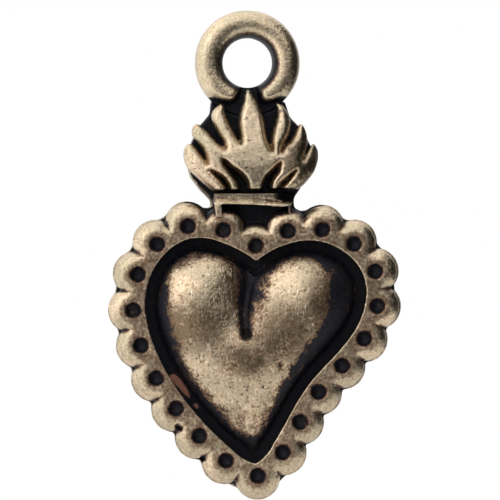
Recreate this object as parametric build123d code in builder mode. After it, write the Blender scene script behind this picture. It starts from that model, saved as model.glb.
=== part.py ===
"""A sacred-heart milagro charm in antiqued brass, hanging from a plain round ring.

The charm hangs in the XZ plane: +Z is up, the worked front faces -Y and the plain back +Y.
The origin is the centre of the ring's hole, half way through the ring's depth. Millimetres.

A flat back plate carries everything: a scalloped border with a dimple in every scallop, a
puffed heart standing in the border's opening, a flame of seven tongues, the collar between
flame and heart, and the ring, which lies in a saddle cut into the top of the plate.
"""

import os

from build123d import *

# The hanging ring: a heavy ring with softened edges, as deep as the plate and more.
ring_hole_radius = 1.12
ring_band = 1.25
ring_depth = 1.7
ring_edge_round = 0.55

# The back plate, and how far the other pieces rise above its face.
plate_thickness = 1.0
border_rise = 0.9
dome_rise = 1.8
flame_rise = 1.25
collar_rise = 1.1

# The heart line, which runs through the middle of every dimple.
heart_width = 10.93
heart_drop = 10.29
cleft_below_ring = 8.26
heart_shift = 0.16

# The scalloped border: a rail along the heart line with a round coin at every dimple.
scallops_per_side = 10
scallop_radius = 1.02
scallop_outset = 0.1
scallop_round = 0.4
rail_outside = 0.34
rail_inside = 0.56
dimple_mouth_radius = 0.33
dimple_depth = 0.26

# The plate stands a little beyond the border between two scallops.
plate_reach = 0.81

# The puffed heart, its low brim and the gaps round them.
brim_gap = 0.38
brim_width = 0.2
brim_height = 0.2

# The flame: its tongues, the body that they grow from and the low bed behind them.
flame_width = 6.0
flame_height = 4.42
flame_root_below_ring = 5.73
flame_shift = 0.08
flame_bed_rise = 0.3
flame_bed_inset = 0.2

# The neck and the collar under the flame.
neck_width = 3.76
collar_gap = 0.16
collar_width = 3.4
collar_height = 0.48
collar_bevel = 0.22
collar_leg_width = 0.18
collar_leg_length = 0.5

# Levels, measured forwards from the middle of the ring.
back_level = -ring_depth / 2
face_level = back_level + plate_thickness
land_level = face_level + border_rise

face_plane = Plane.XZ.offset(face_level)
back_plane = Plane.XZ.offset(back_level)

# Half of the dimples lie on these points, as shares of the heart's width and drop.
left_side_shares = [
    (-0.123, 0.069),
    (-0.266, 0.094),
    (-0.485, -0.109),
    (-0.478, -0.428),
    (-0.3495, -0.689),
    (-0.155, -0.919),
]
tip_shares = (-0.014, -1.0)
right_side_shares = [
    (0.101, -0.884),
    (0.249, -0.634),
    (0.444, -0.401),
    (0.485, -0.118),
    (0.260, 0.068),
    (0.129, 0.060),
]
cleft_shares = (0, 0)

# How far round the heart line the tip lies.
tip_along_share = 0.507


def heart_point(shares):
    """A point from its shares of the heart's width and drop, counted from the cleft."""
    return (
        heart_shift + shares[0] * heart_width,
        shares[1] * heart_drop - cleft_below_ring,
    )


outline_shares = [cleft_shares, *left_side_shares, tip_shares, *right_side_shares, cleft_shares]

with BuildLine():
    heart_line = Spline(*[heart_point(shares) for shares in outline_shares])


def outward(along):
    """Direction straight out from the heart line, the given share of the way round."""
    return (heart_line % along).rotate(Axis.Z, -90)


def beside(along, distance):
    """Point beside the heart line, outside it or, below zero, inside it."""
    return heart_line @ along + outward(along) * distance


def beside_left(share, distance):
    """Point beside the left side, the given share of the way from cleft to tip."""
    return beside(tip_along_share * share, distance)


def beside_right(share, distance):
    """Point beside the right side, the given share of the way from cleft to tip."""
    return beside(1 - (1 - tip_along_share) * share, distance)


def cleft_corner(distance):
    """Corner in the cleft of a line beside the heart line."""
    slant = 1 + outward(0).dot(outward(1))
    return heart_line @ 0 + (outward(0) + outward(1)) * (distance / slant)


def meeting_share(distance):
    """Share of the way to the tip at which a line inside the heart meets itself."""
    nearest_share = 0.5
    furthest_share = 0.99
    halvings = 12
    if beside_left(furthest_share, distance).X < beside_right(furthest_share, distance).X:
        return 1
    for _ in range(halvings):
        middle_share = (nearest_share + furthest_share) / 2
        if beside_left(middle_share, distance).X < beside_right(middle_share, distance).X:
            nearest_share = middle_share
        else:
            furthest_share = middle_share
    return nearest_share


# Where a stretch bends less than this share of its length, it is drawn straight.
straight_share = 0.002


def stretch(start, middle, end):
    """One stretch of a line beside the heart line, bent through its middle."""
    bend = (middle - (start + end) / 2).length
    if bend < straight_share * (end - start).length:
        Line(start, end)
    else:
        ThreePointArc(start, middle, end)


def line_beside(distance):
    """Closed line beside the heart line, an arc from each dimple to the next."""
    meet = meeting_share(distance)
    links = scallops_per_side + 1
    shares = [meet * half_step / (2 * links) for half_step in range(2 * links + 1)]
    left = [beside_left(share, distance) for share in shares]
    right = [beside_right(share, distance) for share in shares]
    left[0] = right[0] = cleft_corner(distance)
    left[-1] = right[-1] = (left[-1] + right[-1]) / 2
    for side in (left, right[::-1]):
        for start, middle, end in zip(side[::2], side[1::2], side[2::2]):
            stretch(start, middle, end)


# The scallops stand evenly spaced on each side between cleft and tip. In the cleft the line
# has a corner, so the coin there is set straight up.
side_steps = [step / (scallops_per_side + 1) for step in range(1, scallops_per_side + 1)]
cleft_middle = heart_line @ 0

dimple_middles = [cleft_middle, beside_left(1, 0)]
dimple_middles += [beside_left(step, 0) for step in side_steps]
dimple_middles += [beside_right(step, 0) for step in side_steps]

coin_middles = [cleft_middle + Vector(0, scallop_outset), beside_left(1, scallop_outset)]
coin_middles += [beside_left(step, scallop_outset) for step in side_steps]
coin_middles += [beside_right(step, scallop_outset) for step in side_steps]

# The ring. Each corner of its section is softened by three equal slopes.
corner_slopes = 3
quarter_turn = 90


def ring_section():
    """Points round the ring's section, out from its axis and along it."""
    points = []
    for quarter, (side, end) in enumerate([(1, 1), (-1, 1), (-1, -1), (1, -1)]):
        corner = Vector(
            ring_hole_radius + ring_band / 2 + side * (ring_band / 2 - ring_edge_round),
            end * (ring_depth / 2 - ring_edge_round),
        )
        for slope in range(corner_slopes + 1):
            angle = quarter_turn * (quarter + slope / corner_slopes)
            points.append(corner + Vector(ring_edge_round, 0).rotate(Axis.Z, angle))
    return points


with BuildPart() as hanging_ring:
    with BuildSketch():
        with BuildLine():
            Polyline(*ring_section(), close=True)
        make_face()
    revolve(axis=Axis.Y)

# The flame. Each row of a tongue, from tip to root, holds the place across and up, the width
# and the rise, as shares of the flame's width, height, width and rise.
centre_tongue_shares = [
    (-0.006, 1.0, 0.018, 0.68),
    (0.002, 0.75, 0.165, 0.82),
    (0.002, 0.4, 0.31, 0.98),
    (0.01, -0.02, 0.22, 0.75),
]
left_inner_shares = [
    (-0.218, 0.875, 0.018, 0.5),
    (-0.234, 0.73, 0.105, 0.6),
    (-0.2, 0.59, 0.135, 0.68),
    (-0.13, 0.43, 0.16, 0.76),
]
left_middle_shares = [
    (-0.41, 0.677, 0.018, 0.25),
    (-0.37, 0.55, 0.1, 0.48),
    (-0.28, 0.37, 0.155, 0.66),
    (-0.13, -0.02, 0.1, 0.5),
]
left_outer_shares = [
    (-0.458, 0.474, 0.018, 0.2),
    (-0.455, 0.34, 0.09, 0.4),
    (-0.36, 0.155, 0.14, 0.54),
    (-0.235, -0.02, 0.1, 0.4),
]
right_inner_shares = [
    (0.21, 0.861, 0.018, 0.5),
    (0.231, 0.73, 0.085, 0.58),
    (0.215, 0.59, 0.125, 0.66),
    (0.15, 0.41, 0.16, 0.75),
]
right_middle_shares = [
    (0.379, 0.642, 0.018, 0.25),
    (0.38, 0.53, 0.085, 0.46),
    (0.31, 0.34, 0.155, 0.66),
    (0.16, -0.02, 0.1, 0.5),
]
right_outer_shares = [
    (0.467, 0.455, 0.018, 0.2),
    (0.46, 0.33, 0.085, 0.4),
    (0.385, 0.18, 0.14, 0.52),
    (0.262, -0.02, 0.1, 0.4),
]
tongue_shares = [
    centre_tongue_shares,
    left_inner_shares,
    left_middle_shares,
    left_outer_shares,
    right_inner_shares,
    right_middle_shares,
    right_outer_shares,
]

# The body of the flame, in rows like a tongue's, fills the space between the tongues.
body_shares = [
    (0.02, 0.53, 0.16, 0.5),
    (0.01, 0.43, 0.5, 0.71),
    (0.018, 0.22, 0.78, 0.75),
    (0.02, -0.02, 0.6, 0.56),
]

# Grooves that divide the lower part of the tongues: the place across and up and the width.
groove_shares = [
    [(-0.242, 0.344, 0), (-0.139, 0.187, 0.068), (-0.088, 0.094, 0.075), (-0.037, -0.02, 0.075)],
    [(-0.326, 0.234, 0), (-0.289, 0.192, 0.03), (-0.245, 0.129, 0.038), (-0.18, -0.02, 0.053)],
    [(0.216, 0.299, 0), (0.131, 0.169, 0.068), (0.077, 0.089, 0.06), (0.053, -0.02, 0.06)],
    [(0.343, 0.234, 0), (0.297, 0.163, 0.03), (0.251, 0.093, 0.038), (0.189, -0.02, 0.053)],
]


def flame_point(shares):
    """A point on the plate's face from its shares of the flame's width and height."""
    return Vector(
        flame_shift + shares[0] * flame_width,
        -face_level,
        shares[1] * flame_height - flame_root_below_ring,
    )


def run_directions(rows):
    """The points of a tongue or groove, each with the direction of its run there."""
    points = [flame_point(row) for row in rows]
    ahead = points[1:] + points[-1:]
    behind = points[:1] + points[:-1]
    return [(point, after - before) for point, after, before in zip(points, ahead, behind)]


def tongue_sections(rows):
    """Sections of one tongue from its tip to its root, each square to the tongue's run."""
    sections = []
    for row, (point, run) in zip(rows, run_directions(rows)):
        across = run.cross(Vector(0, 1, 0))
        with BuildSketch(Plane(point, x_dir=across, z_dir=run)) as section:
            Ellipse(row[2] * flame_width / 2, row[3] * flame_rise)
        sections.append(section.sketch)
    return sections


def groove_outline(rows):
    """Points round one groove, down its left side and up its right."""
    left = []
    right = []
    for row, (point, run) in zip(rows, run_directions(rows)):
        reach = run.cross(Vector(0, 1, 0)).normalized() * row[2] * flame_width / 2
        left.append(point + reach)
        right.append(point - reach)
    return [(point.X, point.Z) for point in left + right[:0:-1]]


# The ground behind the flame, which its low bed follows a little way in from the edge.
ground_shares = [
    (-0.31, -0.1),
    (-0.391, 0.012),
    (-0.464, 0.147),
    (-0.49, 0.3),
    (-0.45, 0.5),
    (-0.387, 0.66),
    (-0.303, 0.785),
    (-0.29, 0.95),
    (0.25, 0.95),
    (0.298, 0.736),
    (0.394, 0.6),
    (0.451, 0.435),
    (0.49, 0.3),
    (0.454, 0.17),
    (0.384, 0.039),
    (0.31, -0.1),
]


def ground_point(shares):
    """A point of the flame's ground, as a point of a sketch."""
    point = flame_point(shares)
    return (point.X, point.Z)


neck_top = -flame_root_below_ring

with BuildSketch() as ground_area:
    with BuildLine():
        Polyline(*[ground_point(shares) for shares in ground_shares], close=True)
    make_face()

root_plane = Plane.XY.offset(neck_top)


def tongue(rows):
    """One tongue of flame, standing on the plate's face."""
    with BuildPart() as solid:
        loft(sections=tongue_sections(rows))
        split(bisect_by=face_plane, keep=Keep.TOP)
        split(bisect_by=root_plane, keep=Keep.TOP)
    return solid.part


with BuildPart() as grooves:
    with BuildSketch(face_plane.offset(flame_bed_rise)):
        for rows in groove_shares:
            with BuildLine():
                Polyline(*groove_outline(rows), close=True)
            make_face()
    extrude(amount=2 * flame_rise)

with BuildPart() as flame:
    with BuildSketch(face_plane):
        add(ground_area.sketch)
        offset(amount=-flame_bed_inset, kind=Kind.ARC)
    extrude(amount=flame_bed_rise)
    split(bisect_by=root_plane, keep=Keep.TOP)
    for rows in [body_shares, *tongue_shares]:
        add(tongue(rows))
    add(grooves.part, mode=Mode.SUBTRACT)
    add(hanging_ring.part, mode=Mode.SUBTRACT)

# The plate, with a saddle for the ring that reaches in behind the ring's softened edge.
neck_middle = (neck_top - cleft_below_ring) / 2

with BuildPart() as back_plate:
    with BuildSketch(back_plane):
        with BuildLine():
            line_beside(plate_reach)
        make_face()
        with Locations(*coin_middles):
            Circle(scallop_radius)
        with Locations((flame_shift, neck_middle)):
            Rectangle(neck_width, neck_top + cleft_below_ring)
        add(ground_area.sketch)
        Circle(ring_hole_radius + ring_band / 2, mode=Mode.SUBTRACT)
    extrude(amount=plate_thickness)
    add(hanging_ring.part, mode=Mode.SUBTRACT)

# The border. A coin with a sloping shoulder stands under every dimple, and the rail between
# the coins is level with their tops. The dimples are punched, narrower at the bottom.
dimple_taper_angle = 37
dimple_sides = 16


def turned(points):
    """Solid turned about the middle of a coin, from points out from it and forwards."""
    with BuildPart() as solid:
        with BuildSketch():
            with BuildLine():
                Polyline(*[(out, -level) for out, level in points], close=True)
            make_face()
        revolve(axis=Axis.Y)
    return solid.part


coin = turned(
    [
        (0, face_level),
        (scallop_radius, face_level),
        (scallop_radius, land_level - scallop_round),
        (scallop_radius - scallop_round, land_level),
        (0, land_level),
    ]
)

with BuildPart() as dimple:
    with BuildSketch(Plane.XZ.offset(land_level)):
        RegularPolygon(dimple_mouth_radius, dimple_sides)
    extrude(amount=-dimple_depth, taper=dimple_taper_angle)

with BuildPart() as opening:
    with BuildSketch(face_plane):
        with BuildLine():
            line_beside(-rail_inside)
        make_face()
    extrude(amount=border_rise)

with BuildPart() as scalloped_border:
    with BuildSketch(face_plane):
        with BuildLine():
            line_beside(rail_outside)
        make_face()
    extrude(amount=border_rise)
    for middle in coin_middles:
        with Locations((middle.X, 0, middle.Y)):
            add(coin)
    add(opening.part, mode=Mode.SUBTRACT)
    for middle in dimple_middles:
        with Locations((middle.X, 0, middle.Y)):
            add(dimple.part, mode=Mode.SUBTRACT)

# The puffed heart. Each row is one level: its drop below the cleft, its left edge, the
# crease and its right edge, then the rise of the left half, the crease and the right half,
# as shares of the heart's drop, width, width, width and the dome's rise. The lobes start
# below the plate's face and the crease fills up on the way down, so it ends half way.
dome_shares = [
    (-0.01, -0.33, 0, 0.31, 0, -0.2, -0.1),
    (0.07, -0.36, 0, 0.34, 0.66, 0, 0.5),
    (0.18, -0.41, -0.012, 0.403, 0.95, 0.36, 0.93),
    (0.3, -0.412, -0.035, 0.39, 1.0, 0.68, 1.0),
    (0.45, -0.37, -0.045, 0.29, 0.95, 0.98, 0.95),
    (0.62, -0.28, -0.05, 0.165, 0.83, 0.9, 0.83),
    (0.78, -0.165, -0.042, 0.06, 0.57, 0.64, 0.57),
    (0.9, -0.07, -0.032, 0.005, 0.25, 0.28, 0.25),
]

# One half of a level from its edge to the crease: how far in the flank and the crown lie,
# and how high the edge and the flank stand.
edge_wall_share = 0.3
flank_in_share = 0.14
flank_up_share = 0.74
crown_in_share = 0.6

# The same places along the section's curve, alike on every level so that the loft runs true.
half_steps = [share / 2 for share in (0, flank_in_share, crown_in_share)]
section_steps = [*half_steps, 0.5, *[1 - step for step in reversed(half_steps)]]


def dome_section(row):
    """Closed section of the puffed heart on one level, down to behind the plate's face."""
    drop, left, crease, right, left_rise, crease_rise, right_rise = row
    level = heart_point((0, -drop))[1]

    def surface_point(across_share, rise_share):
        across = heart_shift + across_share * heart_width
        return Vector(across, -face_level - rise_share * dome_rise, level)

    def half(edge, rise):
        return [
            surface_point(edge, min(edge_wall_share, rise / 2)),
            surface_point(edge + flank_in_share * (crease - edge), flank_up_share * rise),
            surface_point(edge + crown_in_share * (crease - edge), rise),
        ]

    points = [*half(left, left_rise), surface_point(crease, crease_rise)]
    points += reversed(half(right, right_rise))
    behind = Vector(0, dome_rise)
    with BuildLine() as section:
        top = Edge.make_spline(points, parameters=section_steps)
        add(top)
        Polyline(top @ 1, top @ 1 + behind, top @ 0 + behind, top @ 0)
    return Face(Wire(section.edges()))


dome_sections = [dome_section(row) for row in dome_shares]

with BuildPart() as brim:
    with BuildSketch(face_plane):
        with BuildLine():
            line_beside(-(rail_inside + brim_gap))
        make_face()
    extrude(amount=brim_height)

with BuildPart() as heart_dome:
    loft(sections=dome_sections)
    with BuildSketch(face_plane):
        with BuildLine():
            line_beside(-(rail_inside + brim_gap + brim_width))
        make_face()
    extrude(amount=2 * dome_rise, mode=Mode.INTERSECT)
    add(brim.part)

# The collar: a bevelled bar with a thin leg down each side of the neck, which stands on the
# scallop below it.
collar_top = neck_top - collar_gap
collar_middle = collar_top - collar_height / 2
leg_spread = collar_width - collar_leg_width

with BuildPart() as flame_collar:
    with BuildSketch(face_plane):
        with Locations((flame_shift, collar_middle)):
            Rectangle(collar_width, collar_height)
    extrude(amount=collar_rise)
    chamfer(flame_collar.edges().group_by(Axis.Y)[0].sort_by(Axis.Z)[-1], length=collar_bevel)
    with BuildSketch(face_plane):
        with Locations((flame_shift, collar_top - collar_height)):
            with GridLocations(leg_spread, 0, 2, 1):
                Rectangle(collar_leg_width, 2 * collar_leg_length)
    extrude(amount=border_rise)
    add(scalloped_border.part, mode=Mode.SUBTRACT)

os.makedirs("parts", exist_ok=True)
for name, piece in {
    "hanging_ring": hanging_ring,
    "back_plate": back_plate,
    "scalloped_border": scalloped_border,
    "heart_dome": heart_dome,
    "flame": flame,
    "flame_collar": flame_collar,
}.items():
    piece.part.label = name
    export_step(piece.part, f"parts/{name}.step")
    print(name, len(piece.part.solids()), round(piece.part.volume, 2), piece.part.is_valid)
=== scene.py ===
import math

import bmesh
import bpy
import numpy as np
from mathutils import Matrix, Vector


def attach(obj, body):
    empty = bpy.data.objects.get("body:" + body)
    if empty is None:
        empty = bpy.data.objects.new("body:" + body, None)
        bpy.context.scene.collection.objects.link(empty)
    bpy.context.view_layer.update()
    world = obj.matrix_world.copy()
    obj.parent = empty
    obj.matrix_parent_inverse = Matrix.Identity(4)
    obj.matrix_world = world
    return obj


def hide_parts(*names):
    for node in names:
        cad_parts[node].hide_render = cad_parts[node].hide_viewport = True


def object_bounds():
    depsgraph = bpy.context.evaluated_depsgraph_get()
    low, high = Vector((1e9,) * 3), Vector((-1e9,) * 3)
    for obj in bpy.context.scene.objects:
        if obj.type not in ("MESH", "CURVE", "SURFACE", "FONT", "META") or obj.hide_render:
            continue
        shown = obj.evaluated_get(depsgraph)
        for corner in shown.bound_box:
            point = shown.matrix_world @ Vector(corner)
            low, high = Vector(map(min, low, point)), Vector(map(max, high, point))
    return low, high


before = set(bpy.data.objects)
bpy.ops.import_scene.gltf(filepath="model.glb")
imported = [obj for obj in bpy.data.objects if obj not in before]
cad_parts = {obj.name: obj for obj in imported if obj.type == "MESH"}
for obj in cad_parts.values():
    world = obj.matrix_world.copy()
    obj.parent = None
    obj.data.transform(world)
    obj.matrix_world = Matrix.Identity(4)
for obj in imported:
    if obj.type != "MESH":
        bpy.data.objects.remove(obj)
solidLow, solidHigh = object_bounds()
scene = bpy.context.scene
print("solids loaded")

# The pieces are shaped in millimetres, a thousand times their size, and brought back at the end.
# Depth is spoken of as height: how far a point stands forward of the middle of the ring.
toMillimetres = 1000.0
weldGap = 1e-7  # metres between corners of a solid's loose triangles that are one corner
strokeSteps = 9  # points from one place of a drawn line to the next
handful = 4000  # points measured at a time
frontTurn = -0.2  # skin whose normal has a Y below this is on the front


def addPiece(name, shape):
    mesh = bpy.data.meshes.new(name)
    shape.to_mesh(mesh)
    shape.free()
    piece = bpy.data.objects.new(name, mesh)
    scene.collection.objects.link(piece)
    return piece


def finishedMesh(piece):
    return bpy.data.meshes.new_from_object(piece.evaluated_get(bpy.context.evaluated_depsgraph_get()))


def bakeModifiers(piece):
    made = finishedMesh(piece)
    piece.modifiers.clear()
    old = piece.data
    piece.data = made
    bpy.data.meshes.remove(old)


def tumblePiece(piece, times):
    tumble = piece.modifiers.new("tumble", "SMOOTH")
    tumble.factor = 0.5
    tumble.iterations = times
    bakeModifiers(piece)


def pourCast(piece, voxel, soften):
    # remelts a shape into one even skin and rounds it as a casting is rounded
    mould = piece.modifiers.new("mould", "REMESH")
    mould.mode = "VOXEL"
    mould.voxel_size = voxel
    tumblePiece(piece, soften)


def unevenSkin(piece, layers):
    # each layer is (size of the unevenness, how far it moves the skin), both in millimetres
    for number, (size, strength) in enumerate(layers):
        texture = bpy.data.textures.new(f"unevenSkin{number}", "CLOUDS")
        texture.noise_scale = size
        texture.noise_depth = 1
        layer = piece.modifiers.new(f"uneven{number}", "DISPLACE")
        layer.texture = texture
        layer.texture_coords = "LOCAL"
        layer.strength = strength
        layer.mid_level = 0.5
    bakeModifiers(piece)


def readPoints(piece):
    points = np.empty(len(piece.data.vertices) * 3)
    piece.data.vertices.foreach_get("co", points)
    normals = np.empty(len(points))
    piece.data.vertices.foreach_get("normal", normals)
    return points.reshape(-1, 3), normals.reshape(-1, 3)


def writePoints(piece, points):
    piece.data.vertices.foreach_set("co", points.ravel())
    piece.data.update()


def writeMask(piece, name, values):
    mask = piece.data.attributes.new(name, "FLOAT", "POINT")
    mask.data.foreach_set("value", values.astype(np.float32))


def copyOfSolid(node):
    shape = bmesh.new()
    shape.from_mesh(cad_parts[node].data)
    bmesh.ops.remove_doubles(shape, verts=shape.verts, dist=weldGap)
    bmesh.ops.scale(shape, vec=(toMillimetres,) * 3, verts=shape.verts)
    return shape


def drawnLine(strokes):
    # a closed line on the front, smooth along each stroke and sharp where a stroke begins
    curve = bpy.data.curves.new("drawnLine", "CURVE")
    curve.dimensions = "3D"
    curve.resolution_u = strokeSteps
    spline = curve.splines.new("BEZIER")
    places = [(place, number == 0) for stroke in strokes for number, place in enumerate(stroke)]
    spline.bezier_points.add(len(places) - 1)
    for point, ((x, z), sharp) in zip(spline.bezier_points, places):
        point.co = (x, 0, z)
        point.handle_left_type = point.handle_right_type = "VECTOR" if sharp else "AUTO"
    spline.use_cyclic_u = True
    pen = bpy.data.objects.new("pen", curve)
    scene.collection.objects.link(pen)
    line = finishedMesh(pen)
    bpy.data.objects.remove(pen)
    return line


def linePlaces(line):
    return np.array([(vertex.co.x, vertex.co.z) for vertex in line.vertices])


def slabFrom(line, low, high):
    # fills a drawn line and gives it a thickness from one height to another
    slab = bmesh.new()
    slab.from_mesh(line)
    bmesh.ops.triangle_fill(slab, edges=slab.edges, use_beauty=True, normal=(0, -1, 0))
    bmesh.ops.translate(slab, vec=(0, -low, 0), verts=slab.verts)
    front = bmesh.ops.extrude_face_region(slab, geom=slab.faces[:], use_keep_orig=True)
    raised = [item for item in front["geom"] if isinstance(item, bmesh.types.BMVert)]
    bmesh.ops.translate(slab, vec=(0, low - high, 0), verts=raised)
    bmesh.ops.recalc_face_normals(slab, faces=slab.faces)
    return slab


def stepsAlong(corners, steps):
    return np.concatenate([np.linspace(a, b, steps) for a, b in zip(corners, corners[1:])])


def awayFrom(points, x, z):
    return np.hypot(points[:, 0] - x, points[:, 2] - z)


def distanceTo(places, marks):
    # distance of each place on the front from the nearest mark
    nearest = np.empty(len(places))
    for start in range(0, len(places), handful):
        part = places[start:start + handful]
        gaps = part[:, None, :] - marks[None, :, :]
        nearest[start:start + handful] = np.sqrt((gaps ** 2).sum(axis=2).min(axis=1))
    return nearest


def insideLine(places, marks):
    inside = np.zeros(len(places), bool)
    for (x0, z0), (x1, z1) in zip(marks, np.roll(marks, -1, axis=0)):
        if z0 == z1:
            continue
        spans = (z0 > places[:, 1]) != (z1 > places[:, 1])
        crossing = x0 + (places[:, 1] - z0) * (x1 - x0) / (z1 - z0)
        inside ^= spans & (places[:, 0] < crossing)
    return inside


def mapOver(places, margin, cell):
    # the low corner and the size of a map of square cells that covers places on the front
    low = places.min(axis=0) - margin
    return low, ((places.max(axis=0) + margin - low) / cell).astype(int) + 1


def cellsUnder(places, low, cell):
    return tuple(((places - low) / cell).round().astype(int).T)


def readMap(grid, low, places, cell):
    u, w = ((places - low) / cell).T
    i, j = u.astype(int), w.astype(int)
    fu, fw = u - i, w - j
    return (grid[i, j] * (1 - fu) * (1 - fw) + grid[i + 1, j] * fu * (1 - fw)
            + grid[i, j + 1] * (1 - fu) * fw + grid[i + 1, j + 1] * fu * fw)


def easeBetween(low, high, values):
    share = np.clip((values - low) / (high - low), 0, 1)
    return share * share * (3 - 2 * share)


def roundShoulder(distance, reach):
    # a quarter round that climbs from 0 at the edge to 1 at its reach
    share = np.clip(distance / reach, 0, 1)
    return np.sqrt(1 - (1 - share) ** 2)


def pressPits(points, normals, pits):
    # small casting pits: each is (x, z, radius, depth)
    for x, z, radius, depth in pits:
        share = np.clip(1 - (awayFrom(points, x, z) / radius) ** 2, 0, 1)
        points[:, 1] += depth * share * (normals[:, 1] < frontTurn)


# The plain back, and each side as it turns towards the back, are evenly worn.
backLook = {"wear_and_light": 0.8, "turn": (0.05, 0.45)}


def wornBack(wear_and_light, normals, share=1.0):
    turned = easeBetween(*backLook["turn"], normals[:, 1]) * share
    return wear_and_light + (backLook["wear_and_light"] - wear_and_light) * turned


# The hanging ring: a heavy band with a squarish round section.
ringLook = {
    "bandMiddle": 1.745, "bandHalf": 0.625, "depthHalf": 0.85, "squareness": 2.25,
    "sectionSides": 56, "turns": 168, "closeGap": 1e-5,
    "voxel": 0.05, "soften": 2, "softenWeb": 3, "uneven": [(1.4, 0.03), (0.25, 0.012)],
    # below this line the band falls away into the web over the flame
    "webLine": [(-2.2, -1.45), (-1.56, -1.62), (-1.18, -1.76), (-0.82, -1.84), (-0.60, -1.72), (-0.40, -1.40),
                (-0.30, -1.0), (0.38, -1.0), (0.46, -1.4), (0.56, -1.74), (0.74, -1.86), (1.02, -1.84),
                (1.36, -1.72), (1.9, -1.55)],
    "webSteps": 24, "webFrom": -0.6, "webFall": 0.3, "webHeight": 0.16,
    # rubbing: from the dark hole to the bright band, moved a little up and to the right
    "darkInside": 1.16, "brightFrom": 1.52, "topShift": 0.05, "rightShift": 0.05, "backBand": (1.2, 1.4),
}


def makeRing(look):
    shape = bmesh.new()
    bmesh.ops.create_circle(shape, segments=look["sectionSides"], radius=1.0)
    for vertex in shape.verts:
        across, deep = vertex.co.x, vertex.co.y
        power = 2.0 / look["squareness"]
        vertex.co.x = look["bandMiddle"] + look["bandHalf"] * math.copysign(abs(across) ** power, across)
        vertex.co.y = look["depthHalf"] * math.copysign(abs(deep) ** power, deep)
    bmesh.ops.spin(shape, geom=shape.edges[:], cent=(0, 0, 0), axis=(0, 1, 0), angle=math.tau, steps=look["turns"],
                   use_merge=True, use_duplicate=False)
    bmesh.ops.remove_doubles(shape, verts=shape.verts, dist=look["closeGap"])
    bmesh.ops.recalc_face_normals(shape, faces=shape.faces)
    ring = addPiece("hangingRing", shape)
    pourCast(ring, look["voxel"], look["soften"])
    points = readPoints(ring)[0]
    corners, web = look["webLine"], -look["webHeight"]
    limit = np.interp(points[:, 0], *zip(*corners))
    below = (points[:, 2] < limit) & (points[:, 0] > corners[0][0]) & (points[:, 0] < corners[-1][0])
    distance = distanceTo(points[:, (0, 2)], stepsAlong(corners, look["webSteps"]))
    keep = np.where(below, 0, roundShoulder(distance, look["webFall"]))
    nearWeb = (points[:, 2] < look["webFrom"]) & (points[:, 1] < web)
    points[:, 1] = np.where(nearWeb, web + keep * (points[:, 1] - web), points[:, 1])
    writePoints(ring, points)
    tumblePiece(ring, look["softenWeb"])
    unevenSkin(ring, look["uneven"])
    return ring


def rubRing(points, normals, wear_and_light, stain_and_shade, look):
    radius = awayFrom(points, 0, 0)
    radius += (look["topShift"] * points[:, 2] - look["rightShift"] * points[:, 0]) / radius
    wear_and_light = np.minimum(wear_and_light, easeBetween(look["darkInside"], look["brightFrom"], radius))
    return wornBack(wear_and_light, normals, easeBetween(*look["backBand"], radius))


# The back plate, with one bare stretch of edge at the left of the neck, between two corners.
plateLook = {
    "voxel": 0.075, "soften": 9, "uneven": [(1.2, 0.03), (0.3, 0.015)],
    "wornFrom": (-3.0, -4.4), "wornTo": (-1.5, -6.6), "wornTurn": -0.25, "edgeWear": 0.9,
    "sideWear": 0.62, "sideBand": (0.0, 0.4),
}


def makePlate(look):
    plate = addPiece("backPlate", copyOfSolid("back_plate"))
    pourCast(plate, look["voxel"], look["soften"])
    unevenSkin(plate, look["uneven"])
    return plate


def rubPlate(points, normals, wear_and_light, stain_and_shade, look):
    x, z = points[:, 0], points[:, 2]
    (left, top), (right, foot) = look["wornFrom"], look["wornTo"]
    bare = (x > left) & (x < right) & (z < top) & (z > foot) & (normals[:, 0] < look["wornTurn"])
    wear_and_light = np.where(bare, look["edgeWear"], wear_and_light)
    wear_and_light = wear_and_light + (look["sideWear"] - wear_and_light) * easeBetween(*look["sideBand"], points[:, 1])
    return wornBack(wear_and_light, normals)


# The scalloped border: coins with a dimple each, joined by a flat land.
borderLook = {
    "voxel": 0.058, "soften": 3, "softenDimples": 1, "uneven": [(1.1, 0.035), (0.22, 0.014)],
    "land": 1.05, "coinFoot": 0.3,
    "dimpleRadius": 0.36, "dimpleDepth": 0.32, "dimpleFullness": 0.72, "dimpleLip": 0.1, "dimpleFrom": 0.6,
    "coinRadius": 1.04, "shoulderFrom": 0.42, "shoulderDrop": 0.62, "shoulderBlend": 0.5, "shoulderSteps": 20,
    "pits": [(-3.5, -16.26, 0.16, 0.2), (-3.38, -16.36, 0.1, 0.15), (-2.42, -17.74, 0.17, 0.2),
             (-2.23, -18.14, 0.12, 0.1), (-1.7, -17.6, 0.07, 0.05)],
    # the floor of a dimple in the solid: its depth, how exactly it is met, its width and its least points
    "floorDepth": 0.26, "floorGap": 0.004, "floorWide": 0.32, "floorPoints": 12,
    # rubbing: a darker land where it faces the camera as painted shade, dark valleys between the coins as patina
    # deepened with painted shade, and dark dimples
    "landPaintedShade": 0.36, "landBand": (0.93, 1.02), "landTurn": (0.9, 0.99),
    "valleyPatinaAndShade": 0.8, "valleyWide": 0.28, "valleyFrom": 0.7, "valleyTo": 0.95,
    "dimpleEdge": (0.24, 0.56), "sideTurn": (-0.3, 0.3),
}


def dimplePlaces(look):
    # in the solid a dimple's flat floor is a small ring of points at one depth
    spots = []
    solid = copyOfSolid("scalloped_border")
    for x, y, z in (vertex.co for vertex in solid.verts):
        if abs(y + look["land"] - look["floorDepth"]) < look["floorGap"]:
            home = next((spot for spot in spots
                         if math.hypot(spot[0][0] - x, spot[0][1] - z) < look["floorWide"]), None)
            if home:
                home.append((x, z))
            else:
                spots.append([(x, z)])
    solid.free()
    found = [tuple(np.mean(spot, axis=0)) for spot in spots if len(spot) >= look["floorPoints"]]
    middle = np.mean(found, axis=0)
    return np.array(sorted(found, key=lambda place: math.atan2(place[1] - middle[1], place[0] - middle[0])))


dimples = dimplePlaces(borderLook)
print("dimples found:", len(dimples))


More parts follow.
